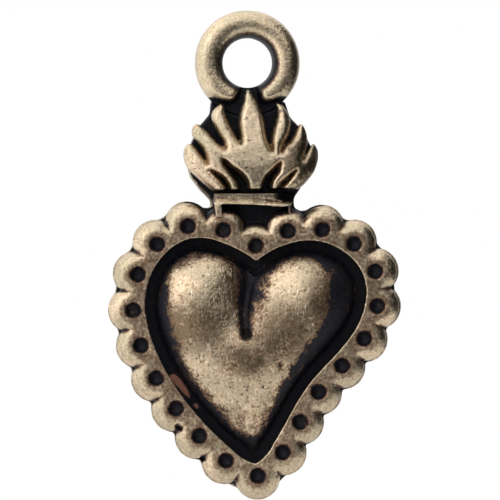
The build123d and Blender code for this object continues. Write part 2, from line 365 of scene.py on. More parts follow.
def makeBorder(look):
    border = addPiece("scallopedBorder", copyOfSolid("scalloped_border"))
    pourCast(border, look["voxel"], look["soften"])
    points, normals = readPoints(border)
    # the coins' outer shoulders: each falls away from its dimple, so a valley is left between two coins
    places = points[:, (0, 2)]
    middles = stepsAlong(np.concatenate([dimples, dimples[:1]]), look["shoulderSteps"])
    outside = np.where(insideLine(places, dimples), 0, distanceTo(places, middles))
    run = look["coinRadius"] - look["shoulderFrom"]
    share = np.clip((distanceTo(places, dimples) - look["shoulderFrom"]) / run, 0, 1)
    drop = look["shoulderDrop"] * (1 - np.sqrt(1 - share ** 2)) * easeBetween(0, look["shoulderBlend"], outside)
    points[:, 1] = np.maximum(points[:, 1], np.minimum(-look["land"] + drop, -look["coinFoot"]))
    radius = look["dimpleRadius"]
    for x, z in dimples:
        distance = awayFrom(points, x, z)
        near = (distance < radius + look["dimpleLip"]) & (points[:, 1] < -look["dimpleFrom"])
        bowl = np.clip(1 - (distance / radius) ** 2, 0, 1) ** look["dimpleFullness"]
        target = -look["land"] + look["dimpleDepth"] * bowl
        blend = 1 - easeBetween(radius, radius + look["dimpleLip"], distance)
        points[:, 1] = np.where(near, points[:, 1] + (target - points[:, 1]) * blend, points[:, 1])
    pressPits(points, normals, look["pits"])
    writePoints(border, points)
    tumblePiece(border, look["softenDimples"])
    unevenSkin(border, look["uneven"])
    return border


def wearAndLightBorder(points, normals, wear_and_light, stain_and_shade, look):
    # painted shade: the land where it faces the camera is made duller
    onLand = easeBetween(*look["landBand"], -points[:, 1]) * easeBetween(*look["landTurn"], -normals[:, 1])
    wear_and_light = wear_and_light * (1 - look["landPaintedShade"] * onLand)
    places = points[:, (0, 2)]
    gaps = np.sort(np.hypot(places[:, :1] - dimples[:, 0], places[:, 1:] - dimples[:, 1]), axis=1)
    toDimple = gaps[:, 0]
    # the valleys between the coins: patina in the hollows, deepened with painted shade
    valley = 1 - easeBetween(0, look["valleyWide"], gaps[:, 1] - toDimple)
    valley *= easeBetween(look["valleyFrom"], look["valleyTo"], toDimple) * ~insideLine(places, dimples)
    wear_and_light = wear_and_light * (1 - look["valleyPatinaAndShade"] * valley)
    bare = np.maximum(easeBetween(*look["dimpleEdge"], toDimple), easeBetween(*look["sideTurn"], normals[:, 1]))
    return wornBack(np.minimum(wear_and_light, bare), normals)


# The puffed heart, with a crease from the cleft that ends in a furrow and a small pit.
domeLook = {
    "voxel": 0.05, "soften": 3, "softenPuff": 6, "softenFurrow": 1,
    "uneven": [(1.3, 0.03), (0.3, 0.016), (0.12, 0.008)],
    "foot": 0.36, "rise": 1.74, "fullness": 0.5, "puffShare": 0.6,
    # the map on which the heart is blown up: cell, edge round it, sweeps, and what counts as heart
    "cell": 0.1, "margin": 0.5, "sweeps": 2600, "raisedBy": 0.12, "domed": 0.3, "domedHeight": 0.5,
    # the crease: place, half width and how much height it leaves, as a share of half the top
    "crease": [(0.06, -8.9, 0.26, 0.0), (-0.10, -9.5, 0.22, 0.02), (-0.24, -10.2, 0.17, 0.1),
               (-0.36, -11.0, 0.13, 0.38), (-0.41, -11.7, 0.1, 0.8), (-0.42, -12.1, 0.08, 1.2)],
    # the furrow that ends the crease: place, half width and depth
    "furrow": [(-0.18, -9.8, 0.30, 0.0), (-0.28, -10.2, 0.30, 0.15), (-0.40, -11.0, 0.27, 0.19),
               (-0.44, -11.7, 0.22, 0.16), (-0.42, -12.2, 0.17, 0.1)],
    "furrowSteps": 16, "creasePit": (-0.38, -12.2, 0.27, 0.26),
    "pits": [(-2.26, -13.31, 0.12, 0.06), (1.17, -13.57, 0.2, 0.12), (0.38, -14.45, 0.17, 0.1),
             (-0.14, -15.34, 0.12, 0.07), (0.62, -14.3, 0.1, 0.05), (-1.9, -14.9, 0.12, 0.05)],
    # rubbing: bare on the height of the puff, less so down its steep sides; painted light lifts the top and the tip,
    # painted shade darkens the right bank, and patina with painted shade darkens the furrow
    "darkBelow": 0.38, "brightAbove": 0.77, "crownBand": (0.7, 0.82), "steepDark": 0.36, "steepBright": 0.74,
    "topPaintedLight": 0.2, "topBand": (-10.6, -9.3), "tipPaintedLight": 0.15, "tipBand": (-15.4, -16.9),
    "rightFacingPaintedShade": 0.32, "rightBankPaintedShade": 0.27, "rightBand": (0.3, 1.6), "rightTurn": (0.0, 0.6),
    "furrowDark": 0.06, "furrowBright": 0.52, "stainAndShadeWear": 0.26,
    # dull brown patches, partly stains left by the rubbing and partly painted shade where the heart faces the camera:
    # middle, half width, half height and how much
    "stainsAndShade": [(-3.0, -11.8, 1.9, 1.35, 1.0), (1.2, -12.2, 2.0, 1.7, 0.95), (-0.4, -13.3, 1.35, 0.95, 0.95),
               (3.2, -11.0, 1.0, 2.3, 1.0)],
}


def puffedHeights(inside, low, look):
    # a skin held down at the heart's foot and along the crease, blown up from behind
    across, up = np.indices(inside.shape)
    x, z = low[0] + across * look["cell"], low[1] + up * look["cell"]
    held = np.full(inside.shape, -1.0)
    for (x0, z0, width0, leave0), (x1, z1, width1, leave1) in zip(look["crease"], look["crease"][1:]):
        runX, runZ = x1 - x0, z1 - z0
        along = np.clip(((x - x0) * runX + (z - z0) * runZ) / (runX ** 2 + runZ ** 2), 0, 1)
        away = np.hypot(x - x0 - along * runX, z - z0 - along * runZ)
        near = away < width0 + along * (width1 - width0)
        held[near] = (leave0 + along * (leave1 - leave0))[near]
    loose, creased = inside & (held < 0), inside & (held >= 0)
    skin = inside.astype(float)
    for sweep in range(look["sweeps"]):
        around = (np.roll(skin, 1, 0) + np.roll(skin, -1, 0) + np.roll(skin, 1, 1) + np.roll(skin, -1, 1)) / 4
        halfTop = skin.max() / 2
        skin = np.where(loose, around + look["cell"] ** 2, 0)
        skin = np.where(creased, held * halfTop, skin)
    return (skin / skin.max()) ** look["fullness"]


def besideFurrow(points, look):
    # distance from the furrow's line on the front, and the furrow's width and depth there
    away = np.full(len(points), np.inf)
    width, depth = np.ones(len(points)), np.zeros(len(points))
    for x, z, wide, deep in stepsAlong(look["furrow"], look["furrowSteps"]):
        gap = awayFrom(points, x, z)
        nearer = gap < away
        away[nearer], width[nearer], depth[nearer] = gap[nearer], wide, deep
    return away, width, depth


def makeDome(look):
    dome = addPiece("heartDome", copyOfSolid("heart_dome"))
    pourCast(dome, look["voxel"], look["soften"])
    points, normals = readPoints(dome)
    places, cell, foot = points[:, (0, 2)], look["cell"], -look["foot"]
    low, size = mapOver(places, look["margin"], cell)
    inside = np.zeros(size, bool)
    inside[cellsUnder(places[points[:, 1] < foot - look["raisedBy"]], low, cell)] = True
    puff = readMap(puffedHeights(inside, low, look), low, places, cell)
    front = (normals[:, 1] < 0) & (points[:, 1] < foot)
    front |= (puff > look["domed"]) & (points[:, 1] < -look["domedHeight"])
    puffed = foot - look["rise"] * puff
    points[:, 1] += np.where(front, look["puffShare"] * (puffed - points[:, 1]), 0)
    writePoints(dome, points)
    tumblePiece(dome, look["softenPuff"])
    points, normals = readPoints(dome)
    away, width, depth = besideFurrow(points, look)
    points[:, 1] += depth * np.clip(1 - (away / width) ** 2, 0, 1) * (normals[:, 1] < frontTurn)
    pressPits(points, normals, [look["creasePit"]] + look["pits"])
    writePoints(dome, points)
    tumblePiece(dome, look["softenFurrow"])
    unevenSkin(dome, look["uneven"])
    return dome


def wearAndLightDome(points, normals, wear_and_light, stain_and_shade, look):
    puff = (-points[:, 1] - look["foot"]) / look["rise"]
    # painted light: the top and the tip count as more rubbed, so they come out lighter
    puff += look["topPaintedLight"] * easeBetween(*look["topBand"], points[:, 2])
    puff += look["tipPaintedLight"] * easeBetween(*look["tipBand"], points[:, 2])
    # painted shade: the right bank, where it turns right and away from the light, counts as less rubbed and comes out
    # darker
    onRight = easeBetween(*look["rightBand"], points[:, 0])
    puff -= look["rightBankPaintedShade"] * easeBetween(*look["rightTurn"], normals[:, 0]) * onRight
    facing = -normals[:, 1] - look["rightFacingPaintedShade"] * np.maximum(normals[:, 0], 0) * onRight
    wear_and_light = np.minimum(wear_and_light, easeBetween(look["darkBelow"], look["brightAbove"], puff))
    steep = easeBetween(look["steepDark"], look["steepBright"], facing)
    wear_and_light = np.minimum(wear_and_light, np.maximum(steep, easeBetween(*look["crownBand"], puff)))
    # dark beside the furrow: patina in it, widened by painted shade along its banks; the brown patches also cut the
    # wear, partly as painted shade
    away = besideFurrow(points, look)[0]
    wear_and_light = (wear_and_light - look["stainAndShadeWear"] * stain_and_shade) * easeBetween(look["furrowDark"], look["furrowBright"], away)
    return wornBack(wear_and_light, normals)


# The flame: a slab in the outline of the tongues, crowned, with grooves between their feet.
flameLook = {
    "voxel": 0.036, "soften": 1, "softenTongues": 2, "uneven": [(0.8, 0.025), (0.2, 0.012)],
    "root": 0.1, "top": 1.38, "topBand": 0.1, "edge": 0.56, "shoulder": 0.3, "leastShoulder": 0.15,
    "leftFall": 0.055, "rightFall": 0.0105, "crownAt": -4.75, "upLean": 0.21, "leanFrom": 0.5, "downFall": 0.12,
    "grooveFloor": 0.22, "grooveInset": 0.05, "grooveCrisp": 1.8, "footLine": -5.69, "bedHeight": 0.25,
    "swell": 0.045, "swellTurn": 0.5,
    # strokes of the outline, each from a sharp place to the next, from the lower left round to the lower right
    "outline": [
        [(-1.72, -5.68), (-1.99, -5.46), (-2.29, -5.18), (-2.56, -4.91), (-2.78, -4.63), (-2.91, -4.31),
         (-2.92, -3.99), (-2.83, -3.74), (-2.70, -3.66)],
        [(-2.62, -3.68), (-2.50, -3.79), (-2.36, -3.96), (-2.22, -4.15), (-2.09, -4.33)],
        [(-1.94, -4.52), (-1.96, -4.29), (-2.00, -4.11), (-2.08, -3.88), (-2.21, -3.65), (-2.36, -3.44),
         (-2.50, -3.25), (-2.53, -3.01), (-2.45, -2.82), (-2.33, -2.77)],
        [(-2.26, -2.80), (-2.11, -2.93), (-1.89, -3.16), (-1.67, -3.39), (-1.45, -3.62)],
        [(-1.13, -3.88), (-1.15, -3.60), (-1.27, -3.36), (-1.43, -3.04), (-1.56, -2.76), (-1.64, -2.49),
         (-1.62, -2.26), (-1.52, -2.11), (-1.36, -1.97)],
        [(-1.22, -1.85), (-1.14, -2.00), (-1.10, -2.28), (-1.02, -2.55), (-0.89, -2.84), (-0.74, -3.14),
         (-0.58, -3.42)],
        [(-0.42, -3.62), (-0.40, -3.33), (-0.44, -3.01), (-0.44, -2.65), (-0.38, -2.29), (-0.28, -1.98),
         (-0.19, -1.67), (-0.13, -1.44)],
        [(-0.02, -1.27), (0.13, -1.46), (0.27, -1.68), (0.40, -1.90), (0.52, -2.18), (0.61, -2.50),
         (0.69, -2.90), (0.74, -3.33), (0.82, -3.60)],
        [(0.97, -3.96), (0.97, -3.59), (1.01, -3.32), (1.10, -3.00), (1.22, -2.69), (1.31, -2.36), (1.31, -2.09)],
        [(1.26, -1.88), (1.45, -2.00), (1.65, -2.25), (1.78, -2.57), (1.81, -2.93), (1.75, -3.25),
         (1.63, -3.53), (1.50, -3.76)],
        [(1.40, -4.04), (1.57, -3.78), (1.80, -3.61), (2.02, -3.36), (2.18, -3.07)],
        [(2.33, -2.84), (2.45, -3.04), (2.53, -3.31), (2.56, -3.62), (2.53, -3.89), (2.47, -4.09)],
        [(2.36, -4.44), (2.56, -4.17), (2.70, -4.01), (2.80, -3.84)],
        [(2.88, -3.75), (3.00, -3.95), (3.05, -4.22), (2.99, -4.58), (2.84, -4.94), (2.61, -5.25),
         (2.36, -5.52), (2.14, -5.70)],
        [(1.86, -5.9)], [(-1.64, -5.85)],
    ],
    "grooves": [
        [[(-1.24, -4.35), (-1.06, -4.49), (-0.79, -4.72), (-0.48, -4.95), (-0.26, -5.18), (-0.13, -5.46)],
         [(-0.10, -5.9)],
         [(-0.55, -5.9), (-0.55, -5.70), (-0.63, -5.45), (-0.81, -5.17), (-1.02, -4.90), (-1.18, -4.65)]],
        [[(-1.79, -4.83), (-1.57, -4.93), (-1.30, -5.09), (-1.10, -5.30), (-0.97, -5.53)], [(-0.93, -5.9)],
         [(-1.09, -5.9), (-1.11, -5.7), (-1.24, -5.50), (-1.42, -5.27), (-1.64, -5.02)]],
        [[(1.33, -4.56), (1.08, -4.76), (0.90, -4.94), (0.69, -5.14), (0.54, -5.40)], [(0.49, -5.9)],
         [(0.90, -5.9), (0.89, -5.70), (0.92, -5.48), (1.06, -5.20), (1.25, -4.95)]],
        [[(2.04, -4.92), (1.78, -5.10), (1.52, -5.32), (1.29, -5.54)], [(1.12, -5.9)],
         [(1.33, -5.9), (1.38, -5.72), (1.56, -5.52), (1.78, -5.28)]],
    ],
    # rubbing, and dull brown patches as on the heart, strongest on the right side: partly stains, partly painted shade
    # where the flame turns from the light
    "darkBelow": 0.37, "brightAbove": 0.47,
    "stainsAndShade": [(2.15, -3.95, 0.8, 0.85, 0.8), (2.5, -4.7, 0.6, 0.7, 0.5), (-1.6, -4.25, 0.6, 0.5, 0.35),
               (0.95, -3.9, 0.4, 0.5, 0.3)],
}


def makeFlame(look):
    outline = drawnLine(look["outline"])
    flame = addPiece("flameTongues", slabFrom(outline, look["root"], look["top"]))
    pourCast(flame, look["voxel"], look["soften"])
    points, normals = readPoints(flame)
    x, places = points[:, 0], points[:, (0, 2)]
    distance = distanceTo(places, linePlaces(outline))
    inGroove = np.zeros(len(points), bool)
    for strokes in look["grooves"]:
        marks = linePlaces(drawnLine(strokes))
        fromGroove = distanceTo(places, marks)
        within = insideLine(places, marks)
        distance = np.minimum(distance, np.where(within, 0, fromGroove * look["grooveCrisp"]))
        inGroove |= within & (fromGroove > look["grooveInset"])
    rise = points[:, 2] - look["crownAt"]
    lean = look["upLean"] * (np.hypot(rise, look["leanFrom"]) - look["leanFrom"])
    sideFall = np.where(x < 0, look["leftFall"] * x ** 2, look["rightFall"] * x ** 4)
    top = look["top"] - sideFall - np.where(rise > 0, lean, look["downFall"] * rise ** 2)
    low = np.minimum(look["edge"], top - look["leastShoulder"])
    height = low + (top - low) * roundShoulder(distance, look["shoulder"])
    height = np.where(inGroove, look["grooveFloor"], height)
    height = np.where(points[:, 2] < look["footLine"], np.minimum(height, look["bedHeight"]), height)
    front = points[:, 1] < -look["top"] + look["topBand"]
    points[:, 1] = np.where(front, -height, np.maximum(points[:, 1], -height))
    writePoints(flame, points)
    pourCast(flame, look["voxel"], look["softenTongues"])
    points, normals = readPoints(flame)
    writePoints(flame, points + normals * look["swell"] * (normals[:, 1:2] < look["swellTurn"]))
    unevenSkin(flame, look["uneven"])
    return flame


def wearAndLightByHeight(points, normals, wear_and_light, stain_and_shade, look):
    # flame and collar are bare on all that stands high enough; on the collar it is partly wear and partly a painted
    # highlight on the lip and painted shade on the band
    return wornBack(easeBetween(look["darkBelow"], look["brightAbove"], -points[:, 1]), normals)


# The collar: a band with a lip at its lower edge and a thin leg down each side of the throat.
collarLook = {
    "voxel": 0.032, "soften": 3, "softenLip": 2, "uneven": [(0.8, 0.02), (0.2, 0.01)], "root": 0.1,
    "band": [[(-1.66, -5.87)], [(1.85, -5.93)], [(1.87, -6.40)], [(-1.66, -6.30)]], "bandHeight": 0.98,
    "lip": [[(-1.68, -6.07), (0.0, -6.13), (1.60, -6.28)],
            [(1.71, -6.34), (1.69, -6.47), (0.0, -6.40), (-1.41, -6.35)], [(-1.68, -6.37)]], "lipHeight": 1.2,
    "leftLeg": [[(-1.69, -6.15)], [(-1.41, -6.24), (-1.33, -6.56)], [(-1.31, -6.92)],
                [(-1.59, -6.92), (-1.64, -6.55)]], "leftLegHeight": 1.16,
    "rightLeg": [[(1.63, -6.31)], [(1.78, -6.34)], [(1.79, -6.99)], [(1.68, -6.99)]], "rightLegHeight": 0.95,
    # the crest: where its slope starts and ends, how far round these it is cut, and from which side
    "lipTop": [(-1.68, -6.07), (0.0, -6.13), (1.60, -6.28)], "lipFoot": [(-1.41, -6.35), (0.0, -6.40), (1.69, -6.47)],
    "lipOver": 0.02, "lipUnder": 0.03, "lipBand": 0.1, "lipStart": -1.66,
    # the turn of the band at its right end
    "fallFrom": 0.95, "fallTo": 1.85, "fallDepth": 0.62, "fallAbove": (-6.36, -6.28), "fallFoot": 0.2,
    # limits that leave the band dull and the lip bright: partly wear, partly painted shade on the band and a painted
    # highlight on the lip
    "darkBelow": 0.70, "brightAbove": 1.18,
}


def makeCollar(look):
    shape = bmesh.new()
    for part in ("band", "lip", "leftLeg", "rightLeg"):
        slab = slabFrom(drawnLine(look[part]), look["root"], look[part + "Height"])
        mesh = bpy.data.meshes.new(part)
        slab.to_mesh(mesh)
        slab.free()
        shape.from_mesh(mesh)
        bpy.data.meshes.remove(mesh)
    collar = addPiece("flameCollar", shape)
    pourCast(collar, look["voxel"], look["soften"])
    points = readPoints(collar)[0]
    x, z, band = points[:, 0], points[:, 2], look["bandHeight"]
    # the band turns away to the right, where it meets the side of the neck
    fall = easeBetween(look["fallFrom"], look["fallTo"], x) * look["fallDepth"]
    share = np.clip((-points[:, 1] - look["fallFoot"]) / (band - look["fallFoot"]), 0, 1)
    points[:, 1] += fall * easeBetween(*look["fallAbove"], z) * share
    # the lip rises from the band to a crest at its lower edge, so it catches the light from above
    lipTop = np.interp(x, *zip(*look["lipTop"]))
    lipFoot = np.interp(x, *zip(*look["lipFoot"]))
    onLip = (-points[:, 1] > band - look["lipBand"]) & (x > look["lipStart"])
    onLip &= (z < lipTop + look["lipOver"]) & (z > lipFoot - look["lipUnder"])
    climb = band + (look["lipHeight"] - band) * np.clip((lipTop - z) / (lipTop - lipFoot), 0, 1)
    points[:, 1] = np.where(onLip, -climb, points[:, 1])
    writePoints(collar, points)
    tumblePiece(collar, look["softenLip"])
    unevenSkin(collar, look["uneven"])
    return collar


# Each member's node in the frame, with how it is made, how it is rubbed (with painted light and shade on some members),
# its values and its finish.
members = {
    "hanging_ring": (makeRing, rubRing, ringLook, "ringBrass"),
    "back_plate": (makePlate, rubPlate, plateLook, "darkPlate"),
    "scalloped_border": (makeBorder, wearAndLightBorder, borderLook, "borderBrass"),
    "heart_dome": (makeDome, wearAndLightDome, domeLook, "domeBrass"),
    "flame": (makeFlame, wearAndLightByHeight, flameLook, "flameBrass"),
    "flame_collar": (makeCollar, wearAndLightByHeight, collarLook, "flameBrass"),
}
pieces = {node: make(look) for node, (make, wearAndLightRule, look, finish) in members.items()}
print("six members cast:", {name: len(piece.data.polygons) for name, piece in pieces.items()})

# A polishing ball is rolled over the front, and what it can't touch keeps its dark patina.
rubLook = {
    "cell": 0.1, "margin": 2.0, "emptyHeight": -3.0, "ball": 1.1, "stepOut": 0.22,
    "touched": 0.02, "untouched": 0.26, "stainAndShadeEdge": (0.3, 1.3),
    # a small bare streak in the channel at the lower left, where the patina has chipped off: place and radius
    "chips": [(-3.66, -14.1, 0.17), (-3.58, -14.18, 0.19), (-3.49, -14.28, 0.19), (-3.4, -14.38, 0.17),
              (-3.31, -14.5, 0.14), (-3.22, -14.62, 0.15), (-3.14, -14.74, 0.13), (-3.05, -14.86, 0.1),
              (-2.97, -14.97, 0.07), (-2.68, -15.36, 0.09), (-2.62, -15.46, 0.07)],
    "chipEdge": 0.05, "chippedPieces": ("back_plate", "heart_dome"),
}


def rollBall(heights, look):
    ball, cell = look["ball"], look["cell"]
    reach = range(-int(ball / cell), int(ball / cell) + 1)
    steps = [(a, b) for a in reach for b in reach if math.hypot(a, b) * cell < ball]
    drop = {step: ball - math.sqrt(ball ** 2 - (math.hypot(*step) * cell) ** 2) for step in steps}
    over = np.full(heights.shape, -np.inf)
    for step in steps:
        over = np.maximum(over, np.roll(heights, step, (0, 1)) - drop[step])
    under = np.full(heights.shape, np.inf)
    for step in steps:
        under = np.minimum(under, np.roll(over, step, (0, 1)) + drop[step])
    return under


def stainAndShadeMask(points, stainsAndShade, edge):
    mask = np.zeros(len(points))
    for x, z, halfWide, halfHigh, amount in stainsAndShade:
        away = np.hypot((points[:, 0] - x) / halfWide, (points[:, 2] - z) / halfHigh)
        mask = np.maximum(mask, amount * (1 - easeBetween(*edge, away)))
    return mask


def chipMask(points, normals, chips, edge):
    mask = np.zeros(len(points))
    for x, z, radius in chips:
        bare = 1 - easeBetween(radius - edge, radius + edge, awayFrom(points, x, z))
        mask = np.maximum(mask, bare * (normals[:, 1] < 0))
    return mask


def wearStainAndLightMasks(look):
    everyPoint = np.concatenate([readPoints(piece)[0] for piece in pieces.values()])
    places, cell = everyPoint[:, (0, 2)], look["cell"]
    low, size = mapOver(places, look["margin"], cell)
    heights = np.full(size, look["emptyHeight"])
    np.maximum.at(heights, cellsUnder(places, low, cell), -everyPoint[:, 1])
    rolled = rollBall(heights, look)
    for node, (make, wearAndLightRule, pieceLook, finish) in members.items():
        points, normals = readPoints(pieces[node])
        beside = points + normals * look["stepOut"]
        gap = readMap(rolled, low, beside[:, (0, 2)], cell) + points[:, 1]
        wear_and_light = 1 - easeBetween(look["touched"], look["untouched"], gap)
        # brown patches: partly stains, partly painted shade on the heart and the flame
        stain_and_shade = stainAndShadeMask(points, pieceLook.get("stainsAndShade", []), look["stainAndShadeEdge"])
        writeMask(pieces[node], "stain_and_shade", stain_and_shade)
        if node in look["chippedPieces"]:
            writeMask(pieces[node], "chipped", chipMask(points, normals, look["chips"], look["chipEdge"]))
        # each member's rule may add painted light and shade to the wear
        writeMask(pieces[node], "wear_and_light", wearAndLightRule(points, normals, wear_and_light, stain_and_shade, pieceLook))


wearStainAndLightMasks(rubLook)
print("rubbed")


def feed(tree, socket, value):
    # a number or a colour is set on the socket, and an output is wired to it
    if isinstance(value, (int, float, tuple)):
        socket.default_value = value
    else:
        tree.links.new(value, socket)


def putNode(tree, kind, spot, **settings):
    node = tree.nodes.new(kind)
    node.location = spot
    for name, value in settings.items():
        setattr(node, name, value)
    return node


def noiseNode(tree, place, spot, scale, detail, rough):
    node = putNode(tree, "ShaderNodeTexNoise", spot)
    for name, value in (("Scale", scale), ("Detail", detail), ("Roughness", rough), ("Vector", place)):
        feed(tree, node.inputs[name], value)
    return node.outputs["Fac"]


def mathNode(tree, operation, spot, first, second, clamp=False):
    node = putNode(tree, "ShaderNodeMath", spot, operation=operation, use_clamp=clamp)
    for socket, value in zip(node.inputs, (first, second)):
        feed(tree, socket, value)
    return node.outputs[0]


def rangeNode(tree, value, spot, low, high, toLow=0.0, toHigh=1.0, kind="SMOOTHSTEP"):
    node = putNode(tree, "ShaderNodeMapRange", spot, interpolation_type=kind)
    ends = {"From Min": low, "From Max": high, "To Min": toLow, "To Max": toHigh}
    for name, given in {**ends, "Value": value}.items():
        feed(tree, node.inputs[name], given)
    return node.outputs["Result"]


def mixColour(tree, share, spot, first, second, blend="MIX"):
    node = putNode(tree, "ShaderNodeMix", spot, data_type="RGBA", blend_type=blend)
    for number, value in ((0, share), (6, first), (7, second)):
        feed(tree, node.inputs[number], value)
    return node.outputs[2]


# The brass that all members share: a black patina that is rubbed through to copper brown and bright brass.
# its wear and stain masks also hold painted light and shade on the heart, border, flame and collar
brassLook = {
    # noise: how fine, how detailed and how rough
    "broad": (650, 3, 0.55), "patches": (2100, 4, 0.6), "grain": (8200, 4, 0.65), "specks": (5200, 2, 0.5),
    # where each mask or tone starts and ends, and what it runs between where that isn't 0 and 1
    "bared": (0.12, 0.45), "bright": (0.35, 0.95), "shade": (0.35, 0.65), "grainTone": (0.3, 0.7, 0.66, 1.22),
    "speckMask": (0.62, 0.72), "stainAndShadeMask": (0.32, 0.6, 0.25, 1.15), "chipMask": (0.35, 0.55),
    "metal": (0.2, 0.6, 0.35, 1.0), "polish": (0.2, 0.9, 0.46, 0.31), "fineRoughness": 0.35,
    # two crossing sets of fine scratches, each (turn, where its strokes start)
    "scratchSets": [(0.6, 0.6), (-0.9, 0.62)], "scratchStretch": (12000, 9000, 2200), "scratchNoise": (1.0, 2, 0.5),
    "scratchSoft": 0.12, "scratchTone": (0.86, 0.76, 0.6, 1),
    "grainHeight": 0.6, "patchHeight": 0.8, "scratchHeight": 0.35, "grainDepth": 0.00005, "bumpStrength": 0.75,
    # the stain tone is the brown of the patches, which partly stand in for painted shade
    "stainAndShadeTone": (0.17, 0.125, 0.08, 1), "chipTone": (0.34, 0.15, 0.10, 1), "specular": 0.22,
    "inputs": {
        "Vector": ["Place"],
        "Float": ["Wear_And_Light", "Stain_And_Shade", "Chipped", "Mottle", "Speck", "Scratch"],
        "Color": ["Brass", "Brass Shade", "Copper", "Patina", "Stain Tone", "Chip Tone"],
    },
    "outputs": {"Color": ["Colour"], "Float": ["Metallic", "Roughness", "Height"]},
}


def scratchMarks(tree, place, look):
    sets = []
    for number, (turn, start) in enumerate(look["scratchSets"]):
        row = -700 - 300 * number
        turned = putNode(tree, "ShaderNodeMapping", (-1550, row))
        turned.inputs["Rotation"].default_value = (0, turn, 0)
        turned.inputs["Scale"].default_value = look["scratchStretch"]
        tree.links.new(place, turned.inputs["Vector"])
        strokes = noiseNode(tree, turned.outputs[0], (-1350, row), *look["scratchNoise"])
        sets.append(rangeNode(tree, strokes, (-1150, row), start, start + look["scratchSoft"]))
    return mathNode(tree, "MAXIMUM", (-950, -800), *sets)


def antiqueBrassGroup(look):
    group = bpy.data.node_groups.new("antiqueBrass", "ShaderNodeTree")
    for side, sockets in (("INPUT", look["inputs"]), ("OUTPUT", look["outputs"])):
        for kind, names in sockets.items():
            for name in names:
                group.interface.new_socket(name, in_out=side, socket_type="NodeSocket" + kind)
    given = putNode(group, "NodeGroupInput", (-1600, 0)).outputs
    result = putNode(group, "NodeGroupOutput", (900, 0)).inputs
    broad, patches, grain, specks = [noiseNode(group, given["Place"], (-1350, 300 - 200 * row), *look[name])
                                     for row, name in enumerate(("broad", "patches", "grain", "specks"))]
    # the worn edge is ragged: wear, pushed about by patches and grain
    ragged = mathNode(group, "SUBTRACT", (-1150, 100), patches, 0.5)
    fine = mathNode(group, "SUBTRACT", (-1150, -100), grain, 0.5)
    shift = mathNode(group, "ADD", (-1050, 0), ragged, fine)
    shift = mathNode(group, "MULTIPLY", (-950, 0), shift, given["Mottle"])
    wornAndLit = mathNode(group, "ADD", (-800, 100), given["Wear_And_Light"], shift)
    bared = rangeNode(group, wornAndLit, (-620, 200), *look["bared"])
    bright = rangeNode(group, wornAndLit, (-620, -50), *look["bright"])
    shade = rangeNode(group, broad, (-620, -250), *look["shade"])
    grainTone = rangeNode(group, grain, (-620, -450), *look["grainTone"], kind="LINEAR")
    scratch = mathNode(group, "MULTIPLY", (-400, -900), scratchMarks(group, given["Place"], look), given["Scratch"])
    speckMask = rangeNode(group, specks, (-620, -650), *look["speckMask"])
    speckMask = mathNode(group, "MULTIPLY", (-400, -600), speckMask, given["Speck"])
    # brown patches, partly stains and partly painted shade
    brownedAndShaded = rangeNode(group, patches, (-400, -750), *look["stainAndShadeMask"])
    brownedAndShaded = mathNode(group, "MULTIPLY", (-200, -700), brownedAndShaded, given["Stain_And_Shade"], clamp=True)
    brass = mixColour(group, shade, (-400, -200), given["Brass Shade"], given["Brass"])
    brass = mixColour(group, 1.0, (-220, -250), brass, grainTone, "MULTIPLY")
    brass = mixColour(group, scratch, (-130, -400), brass, look["scratchTone"])
    brass = mixColour(group, speckMask, (-40, -250), brass, given["Copper"])
    brass = mixColour(group, brownedAndShaded, (50, -250), brass, given["Stain Tone"])
    colour = mixColour(group, bared, (100, 200), given["Patina"], given["Copper"])
    colour = mixColour(group, bright, (300, 100), colour, brass)
    chip = mathNode(group, "ADD", (100, 400), given["Chipped"], ragged)
    chip = rangeNode(group, chip, (300, 400), *look["chipMask"])
    chip = mathNode(group, "MULTIPLY", (400, 400), chip, given["Chipped"])
    colour = mixColour(group, chip, (500, 200), colour, given["Chip Tone"])
    fineRoughness = mathNode(group, "MULTIPLY", (300, -450), fine, look["fineRoughness"])
    polish = rangeNode(group, wornAndLit, (100, -350), *look["polish"])
    grainHeight = mathNode(group, "MULTIPLY", (300, -600), grain, look["grainHeight"])
    patchHeight = mathNode(group, "MULTIPLY", (300, -750), patches, look["patchHeight"])
    scratchHeight = mathNode(group, "MULTIPLY", (300, -900), scratch, look["scratchHeight"])
    lessScratch = mathNode(group, "SUBTRACT", (400, -800), patchHeight, scratchHeight)
    feed(group, result["Colour"], colour)
    feed(group, result["Metallic"], rangeNode(group, wornAndLit, (300, -150), *look["metal"]))
    feed(group, result["Roughness"], mathNode(group, "ADD", (500, -350), polish, fineRoughness))
    feed(group, result["Height"], mathNode(group, "ADD", (500, -600), grainHeight, lessScratch))
    return group


